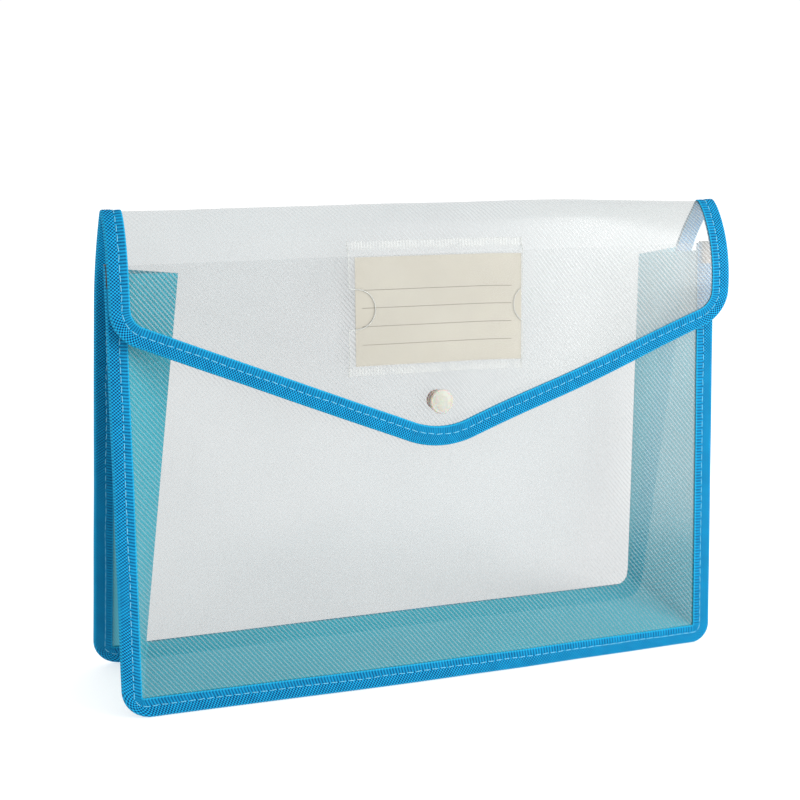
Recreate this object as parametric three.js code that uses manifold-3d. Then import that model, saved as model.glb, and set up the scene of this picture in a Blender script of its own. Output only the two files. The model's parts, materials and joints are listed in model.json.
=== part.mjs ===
// Expanding document case: a clear sheet forms the back and a pointed flap, a clear front panel is
// joined to it by a V-folded gusset along the sides and the foot, and a woven tape binds the edges.
// It stands open on its two bottom bindings, with the flap snapped to the front.
// X runs across the case, Y from front to back, Z up. The origin is the middle of the footprint.
import * as THREE from 'three';
import { mergeVertices } from 'three/addons/utils/BufferGeometryUtils.js';
import Module from 'manifold-3d';

const wasm = await Module();
wasm.setup();

// Driving dimensions, in millimetres.
const WIDTH = 330;
const FOOT_DEPTH = 81.2;
const FRONT_HEIGHT = 222;
const FRONT_LEAN = 0.0626; // how far the front leans back for each millimetre of height
const BACK_LEAN = -0.1843; // how far the back leans forward for each millimetre of height
const BEND_START = 200; // height where the back starts to bend forward
const CREASE = new THREE.Vector2(-20.1, 247.4); // middle of the sheet at the crease, as (y, z)
const BACK_BEND_PULL = new THREE.Vector2(-1.84, 222.7); // where the back's two tangents meet
const FLAP_BEND_PULL = new THREE.Vector2(-30.4, 242); // where the flap's two tangents meet
const FLAP_BEND_END = new THREE.Vector2(-32, 215); // below it the flap is flat
const FLAP_LEAN = 0.06;
const FLAP_CORNER_HEIGHTS = { left: 189, right: 183.6 }; // where its sides would meet its slanted edges
const FLAP_TIP = { x: 2.6, height: 121.3 }; // where its slanted edges would meet

const TAPE_WIDTH = 10;
const TAPE_STACK = 2.8; // over the two layers of tape and the films between them
const TAPE_WALL = 0.55;
const TAPE_FOLD = 1; // solid tape at the very edge
const CLEARANCE = 0.3; // between pieces that touch on the real case
const FILM = 0.45;
const GUSSET_FILM = 0.35;
const FILM_INSET = 1.4; // from the case's edge to the edge of a film inside its tape
const FOOT_RADIUS = 15;
const FOOT_SHARPENING = 1.5; // how fast the radius shrinks inward, so the tape's inner corner is sharp
const FLAP_CORNER_RADIUS = 20;
const FLAP_TIP_RADIUS = 50;
const FLAP_TIP_FLAT = 2; // half width of the short flat that ends the rounded tip

const GUSSET_TOP = 218;
const GUSSET_CREASE_TOP = { inset: 38.4, height: 214.8 };
const GUSSET_CREASE_FOOT = { inset: 24, height: 23 };

const SNAP_HEIGHT = 147.8;
const FITTINGS_X = 2.6; // the snap and the label sit this far right of the middle
const SNAP = {
  pinRadius: 0.9,
  capRadius: 6.2,
  capHeight: 1.5,
  capRim: 0.5,
  socketRadius: 5.2,
  socketWall: 1,
  socketDepth: 2.8,
  socketFloor: 0.9,
  mouthRadius: 2.7,
  mouthLip: 1.3,
  studRadius: 5,
  postRadius: 5.2,
  postFace: 4.4,
  discHeight: 1.1,
  neckRadius: 1.8,
  headRadius: 2.2,
  headHeight: 0.6,
};
const LABEL_HEIGHT = 195; // centre of the card
const CARD = { width: 90, height: 54, thickness: 0.3 };
const WINDOW = {
  width: 94,
  height: 67,
  x: -1.4, // its middle, from that of the card
  rise: 1.4, // the card rests this far below its middle
  rail: 4.3,
  film: 0.3,
  notchRadius: 11,
  notches: [-45, 51.3], // centres of the thumb notches, from the middle of the card
};
const CLIP = { width: 7, leg: 11, sheet: 0.4, inset: 4.5 };

// Places through the thickness of a panel, measured outward from the middle of its tape.
const HALF_STACK = TAPE_STACK / 2;
const HALF_GROOVE = HALF_STACK - TAPE_WALL;
const FILM_OUTER = HALF_GROOVE - CLEARANCE;
const FILM_INNER = FILM_OUTER - FILM;
const FLANGE = FILM_INNER - CLEARANCE - GUSSET_FILM / 2;

// Faceting.
const BEND_STEPS = 8;
const ARC_STEPS = 6;
const GUSSET_STEPS = 6;
const ROUND = 40;
const LEAST_STEP = 0.05; // rows of a sheet are never closer than this

const PALETTE = {
  film: { color: 0xe9eef0, roughness: 0.35, metalness: 0, transparent: true, opacity: 0.35 },
  gusset: { color: 0x74bfcf, roughness: 0.4, metalness: 0, transparent: true, opacity: 0.7 },
  tape: { color: 0x1590d0, roughness: 0.85, metalness: 0 },
  window: { color: 0xf2f5f5, roughness: 0.2, metalness: 0, transparent: true, opacity: 0.3 },
  card: { color: 0xd9d4c6, roughness: 0.9, metalness: 0 },
  snap: { color: 0xe6e6d4, roughness: 0.35, metalness: 0 },
  clip: { color: 0xb9b4aa, roughness: 0.3, metalness: 0.9 },
};

const portfolioCase = new THREE.Group();

function addPiece(name, geometry, finish, parent = portfolioCase) {
  const piece = new THREE.Mesh(geometry, new THREE.MeshStandardMaterial(PALETTE[finish]));
  piece.name = name;
  parent.add(piece);
  return piece;
}

// A profile is a line in the YZ plane that a sheet follows, with outward on the right of its travel.

function makeProfile(points) {
  const along = [0];
  for (let i = 1; i < points.length; i += 1) {
    along.push(along[i - 1] + points[i].distanceTo(points[i - 1]));
  }
  return { points, along, length: along[along.length - 1] };
}

function outwardOf(from, to) {
  const travel = to.clone().sub(from).normalize();
  return new THREE.Vector2(travel.y, -travel.x);
}

// The point at distance s along a profile and depth out from it. At a foot the depth is level,
// so that the sheet's lower edge lies flat on the ground.
function profilePoint(profile, s, depth) {
  const { points, along } = profile;
  const last = points.length - 2;
  let i = 0;
  while (i < last && s > along[i + 1] + 1e-6) {
    i += 1;
  }
  const share = (s - along[i]) / (along[i + 1] - along[i]);
  const point = points[i].clone().lerp(points[i + 1], share);
  const outward = outwardOf(points[i], points[i + 1]);
  if (i < last && share > 1 - 1e-6) {
    const next = outwardOf(points[i + 1], points[i + 2]);
    const middle = outward.clone().add(next).normalize();
    outward.copy(middle.multiplyScalar(1 / middle.dot(outward)));
  }
  if (Math.abs(point.y) < 1e-3) {
    outward.set(1 / outward.x, 0);
  }
  return point.add(outward.multiplyScalar(depth));
}

// A closed solid between two grids of points that lie side by side.
function solidBetween(near, far) {
  const rows = near.length;
  const columns = near[0].length;
  const position = [...near.flat(), ...far.flat()].flatMap((p) => [p.x, p.y, p.z]);
  const index = [];
  const at = (layer, r, c) => layer * rows * columns + r * columns + c;
  const quad = (a, b, c, d) => index.push(a, b, c, a, c, d);
  for (let r = 0; r < rows - 1; r += 1) {
    for (let c = 0; c < columns - 1; c += 1) {
      quad(at(0, r, c), at(0, r, c + 1), at(0, r + 1, c + 1), at(0, r + 1, c));
      quad(at(1, r, c), at(1, r + 1, c), at(1, r + 1, c + 1), at(1, r, c + 1));
    }
  }
  for (let c = 0; c < columns - 1; c += 1) {
    quad(at(0, 0, c), at(1, 0, c), at(1, 0, c + 1), at(0, 0, c + 1));
    quad(at(0, rows - 1, c + 1), at(1, rows - 1, c + 1), at(1, rows - 1, c), at(0, rows - 1, c));
  }
  const end = columns - 1;
  for (let r = 0; r < rows - 1; r += 1) {
    quad(at(0, r + 1, 0), at(1, r + 1, 0), at(1, r, 0), at(0, r, 0));
    quad(at(0, r, end), at(1, r, end), at(1, r + 1, end), at(0, r + 1, end));
  }
  const geometry = new THREE.BufferGeometry();
  geometry.setAttribute('position', new THREE.Float32BufferAttribute(position, 3));
  geometry.setIndex(signedVolume(position, index) < 0 ? index.reverse() : index);
  return geometry;
}

function signedVolume(position, index) {
  const corner = (i) => new THREE.Vector3().fromArray(position, 3 * index[i]);
  let volume = 0;
  for (let i = 0; i < index.length; i += 3) {
    volume += corner(i).dot(corner(i + 1).cross(corner(i + 2))) / 6;
  }
  return volume;
}

function toSolid(geometry) {
  const bare = geometry.clone();
  bare.deleteAttribute('normal');
  bare.deleteAttribute('uv');
  const merged = mergeVertices(bare, 1e-4);
  return new wasm.Manifold(new wasm.Mesh({
    numProp: 3,
    vertProperties: new Float32Array(merged.attributes.position.array),
    triVerts: new Uint32Array(merged.index.array),
  }));
}

function cut(geometry, ...tools) {
  let solid = toSolid(geometry);
  for (const tool of tools) {
    solid = solid.subtract(toSolid(tool));
  }
  const mesh = solid.getMesh();
  const result = new THREE.BufferGeometry();
  result.setAttribute('position', new THREE.BufferAttribute(mesh.vertProperties, 3));
  result.setIndex(new THREE.BufferAttribute(mesh.triVerts, 1));
  return result;
}

// An outline's left and right sides are lists of (width from the case's middle, distance along the
// profile), in order of distance.

function arc(centre, radius, from, to) {
  const points = [];
  for (let i = 0; i <= ARC_STEPS; i += 1) {
    const angle = from + ((to - from) * i) / ARC_STEPS;
    points.push(new THREE.Vector2(
      centre.x + radius * Math.cos(angle),
      centre.y + radius * Math.sin(angle),
    ));
  }
  return points;
}

// A panel with rounded foot corners, inset all round. foot is the distance of its foot, and up is 1
// if the profile climbs from the foot and -1 if it comes down to it.
function panelOutline(inset, foot, up) {
  const radius = Math.max(FOOT_RADIUS - FOOT_SHARPENING * inset, 1);
  const centre = new THREE.Vector2(WIDTH / 2 - inset - radius, foot + up * (inset + radius));
  const side = up > 0
    ? arc(centre, radius, -Math.PI / 2, 0)
    : arc(centre, radius, 0, Math.PI / 2);
  return { left: side, right: side };
}

// The flap's slanted edges meet its sides and each other in arcs whose centres stay put at every inset.
function flapOutline(inset) {
  const half = WIDTH / 2;
  const tip = flapDistance(FLAP_TIP.height);
  const tipWidths = { left: -FLAP_TIP.x, right: FLAP_TIP.x };
  const slantOf = (side) => (
    Math.atan2(tip - flapDistance(FLAP_CORNER_HEIGHTS[side]), half - tipWidths[side])
  );
  const slants = { left: slantOf('left'), right: slantOf('right') };
  const reach = (side) => FLAP_TIP_RADIUS / Math.cos(slants[side]);
  const drift = (reach('left') - reach('right')) / (Math.tan(slants.left) + Math.tan(slants.right));
  const tipDistance = tip + drift * Math.tan(slants.left) - reach('left');
  const tipRadius = FLAP_TIP_RADIUS - inset;
  const sideOutline = (side, tipWidth) => {
    const slant = slants[side];
    const turn = Math.PI / 2 - slant;
    const cornerWidth = half - FLAP_CORNER_RADIUS;
    const corner = new THREE.Vector2(
      cornerWidth,
      tip - (cornerWidth - tipWidths[side]) * Math.tan(slant) - FLAP_CORNER_RADIUS / Math.cos(slant),
    );
    const tipCentre = new THREE.Vector2(tipWidth, tipDistance);
    return [
      ...arc(corner, FLAP_CORNER_RADIUS - inset, 0, turn),
      ...arc(tipCentre, tipRadius, turn, Math.acos(FLAP_TIP_FLAT / tipRadius)),
    ];
  };
  return {
    left: sideOutline('left', tipWidths.left - drift),
    right: sideOutline('right', tipWidths.right + drift),
  };
}

function widthAt(side, s) {
  if (s <= side[0].y) {
    return side[0].x;
  }
  const i = side.findIndex((p) => p.y >= s);
  if (i < 0) {
    return side[side.length - 1].x;
  }
  const share = (s - side[i - 1].y) / (side[i].y - side[i - 1].y);
  return side[i - 1].x + share * (side[i].x - side[i - 1].x);
}

// A sheet that follows a profile from one distance to another, within an outline.
function sheet(profile, outline, from, to, inner, outer) {
  const marks = [...profile.along, ...outline.left.map((p) => p.y), ...outline.right.map((p) => p.y)];
  const between = marks
    .filter((s) => s > from + LEAST_STEP && s < to - LEAST_STEP)
    .sort((a, b) => a - b);
  const stops = [from];
  for (const s of between) {
    if (s - stops[stops.length - 1] > LEAST_STEP) {
      stops.push(s);
    }
  }
  stops.push(to);
  const grid = (depth) => stops.map((s) => {
    const point = profilePoint(profile, s, depth);
    return [
      new THREE.Vector3(-widthAt(outline.left, s), point.x, point.y),
      new THREE.Vector3(widthAt(outline.right, s), point.x, point.y),
    ];
  });
  return solidBetween(grid(inner), grid(outer));
}

// Tape folded over a panel's edge: a channel that holds the film. openFrom and openTo say at which
// ends of its run the tape is cut off, so that the channel stays open there.
function binding(profile, outlineAt, from, to, openFrom, openTo) {
  const start = (inset) => (openFrom ? from - TAPE_WIDTH : from + inset);
  const stop = (inset) => (openTo ? to + TAPE_WIDTH : outlineEnd(outlineAt(inset), to - inset));
  const body = sheet(profile, outlineAt(0), from, to, -HALF_STACK, HALF_STACK);
  const panel = sheet(
    profile,
    outlineAt(TAPE_WIDTH),
    start(TAPE_WIDTH),
    stop(TAPE_WIDTH),
    -TAPE_STACK,
    TAPE_STACK,
  );
  const groove = sheet(
    profile,
    outlineAt(TAPE_FOLD),
    start(TAPE_FOLD),
    stop(TAPE_FOLD),
    -HALF_GROOVE,
    HALF_GROOVE,
  );
  return cut(body, panel, groove);
}

function outlineEnd(outline, fallback) {
  return Math.min(outline.right[outline.right.length - 1].y, fallback);
}

// The panels' profiles.
const FRONT_FOOT = new THREE.Vector2(-FOOT_DEPTH / 2 + HALF_STACK, 0);
const BACK_FOOT = new THREE.Vector2(FOOT_DEPTH / 2 - HALF_STACK, 0);
const FRONT_TOP = new THREE.Vector2(FRONT_FOOT.x + FRONT_LEAN * FRONT_HEIGHT, FRONT_HEIGHT);
const BACK_BEND = new THREE.Vector2(BACK_FOOT.x + BACK_LEAN * BEND_START, BEND_START);
const FLAP_END = new THREE.Vector2(
  FLAP_BEND_END.x - FLAP_LEAN * (FLAP_BEND_END.y - FLAP_TIP.height),
  FLAP_TIP.height,
);
const backBend = new THREE.QuadraticBezierCurve(BACK_BEND, BACK_BEND_PULL, CREASE);
const flapBend = new THREE.QuadraticBezierCurve(CREASE, FLAP_BEND_PULL, FLAP_BEND_END);

const frontProfile = makeProfile([FRONT_TOP, FRONT_FOOT]);
const backProfile = makeProfile([BACK_FOOT, ...backBend.getPoints(BEND_STEPS)]);
const flapProfile = makeProfile([...flapBend.getPoints(BEND_STEPS), FLAP_END]);

function flapDistance(height) {
  return flapProfile.length - (height - FLAP_TIP.height) * Math.hypot(1, FLAP_LEAN);
}

// Frames that lie on a panel: local X across, local Y inward, local Z up the panel.
function panelFrame(x, point, lean) {
  const frame = new THREE.Group();
  frame.position.set(x, point.x, point.y);
  frame.rotation.x = -Math.atan(lean);
  portfolioCase.add(frame);
  return frame;
}

function flapPointAt(height) {
  return new THREE.Vector2(FLAP_END.x + FLAP_LEAN * (height - FLAP_TIP.height), height);
}

// Films.

const CREASE_SLIT = 0.9; // half the slit between the films of back and flap
const CREASE_NOTCH = 2.2; // how far each tape stops short of the crease, so that the flap folds back
const SNAP_HOLE = 1.3;
const DRILL_LENGTH = 40; // enough to go through both panels

function snapDrill() {
  const drill = new THREE.CylinderGeometry(SNAP_HOLE, SNAP_HOLE, DRILL_LENGTH, ROUND);
  drill.rotateX(-Math.atan(FLAP_LEAN));
  const point = flapPointAt(SNAP_HEIGHT);
  drill.translate(FITTINGS_X, point.x, point.y);
  return drill;
}

const backOutline = (inset) => panelOutline(inset, 0, 1);
const frontOutline = (inset) => panelOutline(inset, frontProfile.length, -1);

const backFilm = sheet(
  backProfile,
  backOutline(FILM_INSET),
  FILM_INSET,
  backProfile.length - CREASE_SLIT,
  FILM_INNER,
  FILM_OUTER,
);
addPiece('back_panel', backFilm, 'film');

const frontFilm = sheet(
  frontProfile,
  frontOutline(FILM_INSET),
  0,
  frontProfile.length - FILM_INSET,
  FILM_INNER,
  FILM_OUTER,
);
addPiece('front_panel', cut(frontFilm, snapDrill()), 'film');

const flapFilm = sheet(
  flapProfile,
  flapOutline(FILM_INSET),
  CREASE_SLIT,
  outlineEnd(flapOutline(FILM_INSET), flapProfile.length),
  FILM_INNER,
  FILM_OUTER,
);
addPiece('flap_panel', cut(flapFilm, snapDrill()), 'film');

// Bindings.

const backTapeEnd = backProfile.length - CREASE_NOTCH;
const flapTapeEnd = outlineEnd(flapOutline(0), flapProfile.length);
addPiece('front_binding', binding(frontProfile, frontOutline, 0, frontProfile.length, true, false), 'tape');
addPiece('back_binding', binding(backProfile, backOutline, 0, backTapeEnd, false, true), 'tape');
addPiece('flap_binding', binding(flapProfile, flapOutline, CREASE_NOTCH, flapTapeEnd, true, false), 'tape');

// Gusset. Each half has a flange inside a panel's tape and a web that runs to the inner crease.

const CREASE_GAP = 0.6; // each half's web stops this far short of the inner crease
const MITRE_GAP = 0.6; // between the side and bottom gussets where they meet at a foot corner
const WEB_START = 10.6; // from the case's edge to where the web leaves the tape

const gussetPanels = {
  front: {
    profile: frontProfile,
    inward: 1,
    distance: (height) => (FRONT_HEIGHT - height) * Math.hypot(1, FRONT_LEAN),
    height: (distance) => FRONT_HEIGHT - distance / Math.hypot(1, FRONT_LEAN),
  },
  back: {
    profile: backProfile,
    inward: -1,
    distance: (height) => height * Math.hypot(1, BACK_LEAN),
    height: (distance) => distance / Math.hypot(1, BACK_LEAN),
  },
};

function flangePoint(panel, inset, height) {
  const point = profilePoint(panel.profile, panel.distance(height), FLANGE);
  return new THREE.Vector3(-WIDTH / 2 + inset, point.x, point.y);
}

function creasePoint(inset, height) {
  const middle = (FRONT_FOOT.x + BACK_FOOT.x + (FRONT_LEAN + BACK_LEAN) * height) / 2;
  return new THREE.Vector3(-WIDTH / 2 + inset, middle, height);
}

// Draws a web's inner end back from the crease, towards the tape.
function shortOfCrease(webStart, crease) {
  return crease.clone().add(webStart.clone().sub(crease).setLength(CREASE_GAP));
}

function mirrored(rows) {
  return rows.map((row) => row.map((p) => new THREE.Vector3(-p.x, p.y, p.z)));
}

// Thickens a grid of points, with mitred folds.
function thickened(rows, thickness) {
  const normalOfCell = (r, c) => {
    const across = rows[r][c + 1].clone().sub(rows[r][c]);
    const along = rows[r + 1][c].clone().sub(rows[r][c]);
    return across.cross(along).normalize();
  };
  const clamp = (value, most) => Math.min(Math.max(value, 0), most);
  const offset = (r, c) => {
    const row = clamp(r, rows.length - 2);
    const before = normalOfCell(row, clamp(c - 1, rows[0].length - 2));
    const after = normalOfCell(row, clamp(c, rows[0].length - 2));
    const middle = before.clone().add(after).normalize();
    return middle.multiplyScalar(thickness / 2 / middle.dot(before));
  };
  const grid = (sign) => rows.map((row, r) => row.map(
    (p, c) => p.clone().addScaledVector(offset(r, c), sign),
  ));
  return solidBetween(grid(-1), grid(1));
}

// Heights from the gusset's top to its foot, with one at each facet of the panel's bend.
function gussetHeights(panel, foot) {
  const even = Array.from({ length: GUSSET_STEPS }, (_, i) => (
    THREE.MathUtils.lerp(foot, BEND_START, i / GUSSET_STEPS)
  ));
  const bends = panel.profile.along
    .map((s) => panel.height(s))
    .filter((height) => height > BEND_START - 1 && height < GUSSET_TOP - 1);
  return [...even, ...bends, GUSSET_TOP].reverse();
}

function sideGussetRows(panel) {
  const foot = WEB_START + MITRE_GAP;
  return gussetHeights(panel, foot).map((height) => {
    const share = (GUSSET_TOP - height) / (GUSSET_TOP - foot);
    const web = flangePoint(panel, WEB_START, height);
    const crease = creasePoint(
      THREE.MathUtils.lerp(GUSSET_CREASE_TOP.inset, GUSSET_CREASE_FOOT.inset, share),
      THREE.MathUtils.lerp(GUSSET_CREASE_TOP.height, GUSSET_CREASE_FOOT.height + MITRE_GAP, share),
    );
    return [
      flangePoint(panel, FILM_INSET, Math.max(height, FOOT_RADIUS + MITRE_GAP)),
      web,
      shortOfCrease(web, crease),
    ];
  });
}

function bottomGussetRows(panel) {
  const ends = [
    [FOOT_RADIUS + MITRE_GAP, WEB_START + MITRE_GAP, GUSSET_CREASE_FOOT.inset + MITRE_GAP],
    [WIDTH / 2, WIDTH / 2, WIDTH / 2],
  ];
  const half = ends.map(([flange, web, crease]) => {
    const start = flangePoint(panel, web, WEB_START);
    const end = creasePoint(crease, GUSSET_CREASE_FOOT.height);
    return [flangePoint(panel, flange, FILM_INSET), start, shortOfCrease(start, end)];
  });
  return [...half, mirrored(half)[0]];
}

for (const [side, panel] of Object.entries(gussetPanels)) {
  const rows = sideGussetRows(panel);
  addPiece(`gusset_left_${side}`, thickened(rows, GUSSET_FILM), 'gusset');
  addPiece(`gusset_right_${side}`, thickened(mirrored(rows), GUSSET_FILM), 'gusset');
  addPiece(`gusset_bottom_${side}`, thickened(bottomGussetRows(panel), GUSSET_FILM), 'gusset');
}

// Snap fastener, turned about the line that presses it shut. Depths run inward from the flap's middle.

const snapFrame = panelFrame(FITTINGS_X, flapPointAt(SNAP_HEIGHT), FLAP_LEAN);
const pinHole = SNAP.pinRadius + CLEARANCE;

// How deep along the snap's line the middle of the front lies.
function frontDepthAtSnap() {
  const start = flapPointAt(SNAP_HEIGHT);
  const lean = Math.atan(FLAP_LEAN);
  const gap = FRONT_FOOT.x + FRONT_LEAN * start.y - start.x;
  return gap / (Math.cos(lean) + FRONT_LEAN * Math.sin(lean));
}

// A profile is (radius, depth inward) points, which start and end on the axis or are a closed ring.
// Its outer wall runs from the inside of the case to the outside.
function turned(profile) {
  const ring = profile[0][0] > 0 ? [...profile, profile[0]] : profile;
  const points = ring.map(([radius, depth]) => new THREE.Vector2(radius, depth));
  return new THREE.LatheGeometry(points.reverse(), ROUND);
}

const capFace = -FILM_OUTER - CLEARANCE;
const capCrown = capFace - SNAP.capHeight;
const capBevel = (SNAP.capHeight - SNAP.capRim) / 2;
const socketTop = -FILM_INNER + CLEARANCE;
const socketEnd = socketTop + SNAP.socketDepth;
const socketRecess = socketTop + SNAP.socketFloor;
const pinEnd = socketRecess - SNAP.socketFloor / 4;
addPiece('snap_cap', turned([
  [0, pinEnd],
  [SNAP.pinRadius, pinEnd],
  [SNAP.pinRadius, capFace],
  [SNAP.capRadius, capFace],
  [SNAP.capRadius, capFace - SNAP.capRim],
  [SNAP.capRadius - capBevel, capFace - SNAP.capRim - capBevel],
  [SNAP.capRadius - 4 * capBevel, capCrown],
  [0, capCrown],
]), 'snap', snapFrame);
addPiece('snap_socket', turned([
  [pinHole, socketRecess],
  [SNAP.mouthRadius, socketRecess],
  [SNAP.mouthRadius, socketEnd],
  [SNAP.mouthRadius + SNAP.mouthLip, socketEnd],
  [SNAP.socketRadius, socketTop + SNAP.socketWall],
  [SNAP.socketRadius, socketTop],
  [pinHole, socketTop],
]), 'snap', snapFrame);

const studBase = frontDepthAtSnap() - FILM_OUTER - CLEARANCE;
const studShoulder = studBase - SNAP.discHeight;
const studTip = socketRecess + CLEARANCE;
const postTop = frontDepthAtSnap() - FILM_INNER + CLEARANCE;
const postEnd = studShoulder - CLEARANCE;
addPiece('snap_stud', turned([
  [pinHole, studBase],
  [SNAP.studRadius, studBase],
  [SNAP.studRadius, studShoulder],
  [SNAP.neckRadius, studShoulder],
  [SNAP.headRadius, studTip + SNAP.headHeight],
  [SNAP.neckRadius, studTip],
  [pinHole, studTip],
]), 'snap', snapFrame);
addPiece('snap_post', turned([
  [0, postTop + SNAP.discHeight],
  [SNAP.postFace, postTop + SNAP.discHeight],
  [SNAP.postRadius, postTop + SNAP.discHeight / 2],
  [SNAP.postRadius, postTop],
  [SNAP.pinRadius, postTop],
  [SNAP.pinRadius, postEnd],
  [0, postEnd],
]), 'snap', snapFrame);

// Label pocket: a clear film on two rails, open at both ends, with thumb notches.

const labelFrame = panelFrame(FITTINGS_X, flapPointAt(LABEL_HEIGHT), FLAP_LEAN);
const cardInner = -FILM_OUTER - CLEARANCE;
const cardOuter = cardInner - CARD.thickness;
const windowOuter = cardOuter - CLEARANCE - WINDOW.film;

function alongX(points, length) {
  const shape = new THREE.Shape(points.map(([y, z]) => new THREE.Vector2(y, z)));
  const geometry = new THREE.ExtrudeGeometry(shape, { depth: length, bevelEnabled: false });
  geometry.translate(0, 0, -length / 2);
  geometry.applyMatrix4(new THREE.Matrix4().makeBasis(
    new THREE.Vector3(0, 1, 0),
    new THREE.Vector3(0, 0, 1),
    new THREE.Vector3(1, 0, 0),
  ));
  return geometry;
}

const windowHalf = WINDOW.height / 2;
const windowSection = [
  [windowOuter, -windowHalf],
  [cardInner, -windowHalf],
  [cardInner, WINDOW.rail - windowHalf],
  [windowOuter + WINDOW.film, WINDOW.rail - windowHalf],
  [windowOuter + WINDOW.film, windowHalf - WINDOW.rail],
  [cardInner, windowHalf - WINDOW.rail],
  [cardInner, windowHalf],
  [windowOuter, windowHalf],
];
const windowBlank = alongX(windowSection, WINDOW.width).translate(WINDOW.x, 0, WINDOW.rise);
const thumbNotches = WINDOW.notches.map((x) => {
  const depth = 2 * TAPE_STACK; // clears the whole pocket
  const circle = new THREE.CylinderGeometry(WINDOW.notchRadius, WINDOW.notchRadius, depth, ROUND);
  return circle.translate(x, 0, WINDOW.rise);
});
addPiece('label_window', cut(windowBlank, ...thumbNotches), 'window', labelFrame);

const card = new THREE.BoxGeometry(CARD.width, CARD.thickness, CARD.height);
addPiece('label_card', card.translate(0, (cardInner + cardOuter) / 2, 0), 'card', labelFrame);

// Metal clips that finish the two upper ends of the front binding.

const clipInner = HALF_STACK + CLEARANCE;
const clipOuter = clipInner + CLIP.sheet;
const clipSection = [
  [-clipOuter, -CLIP.leg],
  [-clipInner, -CLIP.leg],
  [-clipInner, CLEARANCE],
  [clipInner, CLEARANCE],
  [clipInner, -CLIP.leg],
  [clipOuter, -CLIP.leg],
  [clipOuter, CLEARANCE + CLIP.sheet],
  [-clipOuter, CLEARANCE + CLIP.sheet],
];
const clipFrame = panelFrame(0, FRONT_TOP, FRONT_LEAN);
for (const [name, end] of [['left_end_clip', -1], ['right_end_clip', 1]]) {
  const clip = addPiece(name, alongX(clipSection, CLIP.width), 'clip', clipFrame);
  clip.position.x = end * (WIDTH / 2 - CLIP.inset);
}

export default portfolioCase;
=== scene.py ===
# The looks of an expanding document case: clear embossed films, a blue folded gusset, woven edge
# tape with its stitches, a label pocket, a snap fastener and two metal clips. Lengths are in metres.

import json
import math
from collections import namedtuple

import bpy
import numpy as np
from mathutils import Matrix, Vector


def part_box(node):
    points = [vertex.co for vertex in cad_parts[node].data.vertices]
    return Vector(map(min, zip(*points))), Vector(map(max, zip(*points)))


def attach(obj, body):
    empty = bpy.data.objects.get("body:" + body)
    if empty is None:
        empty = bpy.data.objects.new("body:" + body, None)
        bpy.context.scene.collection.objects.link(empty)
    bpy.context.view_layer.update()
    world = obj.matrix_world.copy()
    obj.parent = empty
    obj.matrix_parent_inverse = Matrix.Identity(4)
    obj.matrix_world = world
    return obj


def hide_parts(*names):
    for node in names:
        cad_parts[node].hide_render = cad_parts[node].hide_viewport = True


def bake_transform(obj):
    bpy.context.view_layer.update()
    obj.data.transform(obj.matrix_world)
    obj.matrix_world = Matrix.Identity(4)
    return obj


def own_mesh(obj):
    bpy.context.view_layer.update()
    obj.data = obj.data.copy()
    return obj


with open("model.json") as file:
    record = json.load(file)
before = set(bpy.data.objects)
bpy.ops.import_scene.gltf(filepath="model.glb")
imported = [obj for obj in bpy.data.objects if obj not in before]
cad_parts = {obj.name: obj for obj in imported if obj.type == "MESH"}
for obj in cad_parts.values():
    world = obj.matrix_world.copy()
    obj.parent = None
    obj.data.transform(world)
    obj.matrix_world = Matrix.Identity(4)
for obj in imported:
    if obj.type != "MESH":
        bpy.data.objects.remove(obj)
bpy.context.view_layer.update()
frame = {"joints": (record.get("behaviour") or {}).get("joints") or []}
joints = {joint["name"]: joint for joint in frame["joints"]}
rng = np.random.default_rng(7)

# Driving dimensions. X runs across the case, Y from front to back, Z up.
HALF_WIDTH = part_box("back_binding")[1].x
CREASE = np.array(joints["flap_hinge"]["pos_m"][1:])
FRONT_TOP = np.array([-0.0253, 0.222])
FRONT_FOOT = np.array([-0.0392, 0.0])
BACK_FOOT = np.array([0.0392, 0.0])
BACK_BEND = np.array([0.00234, 0.200])
BACK_BEND_PULL = np.array([-0.00184, 0.2227])
FLAP_BEND_PULL = np.array([-0.0304, 0.242])
FLAP_BEND = np.array([-0.032, 0.215])
FLAP_END = np.array([-0.03762, 0.1213])
FLAP_CORNER_HEIGHTS = (0.189, 0.1836)
FITTINGS_X = 0.0026
LABEL_TILT = math.radians(-0.4)

TAPE_WIDTH = 0.010
HALF_STACK = 0.0014
FILM_OFFSET = 0.00033
FILM_INSET = 0.0016
FLANGE_OFFSET = -0.000375
LEFT_FOOT_RADIUS = 0.015
RIGHT_FOOT_RADIUS = 0.0105
FLAP_CORNER_RADIUS = 0.020
TIP_RADIUS = 0.050
RIB_STEP = 0.00086
PICK_PITCH = 0.0018
RIB_RELIEF = 0.0001
DOT_RELIEF = 0.00007
TAPE_DRIFT = 0.00012
TWIST_PITCH = 0.0009
STITCH_INSET = 0.006
STITCH_PITCH = 0.0046
STITCH_LENGTH = 0.0037
STITCH_DEPTH = 0.00112
STITCH_SINK = 0.00034
STITCH_WANDER = 0.0003
STITCH_LEAN = 0.00022
THREAD_RADIUS = 0.00022
GUSSET_TOP = 0.218
GUSSET_EDGE = 0.0107
CREASE_TOP = (0.0386, 0.2157)
LEFT_CREASE_FOOT = (0.0205, 0.0246)
RIGHT_CREASE_FOOT = (0.0314, 0.0248)
LEFT_CREASE_RADIUS = 0.0015
RIGHT_CREASE_RADIUS = 0.007
EMBOSS_PITCH = 0.0018
EMBOSS_ANGLE = math.radians(50)

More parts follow.
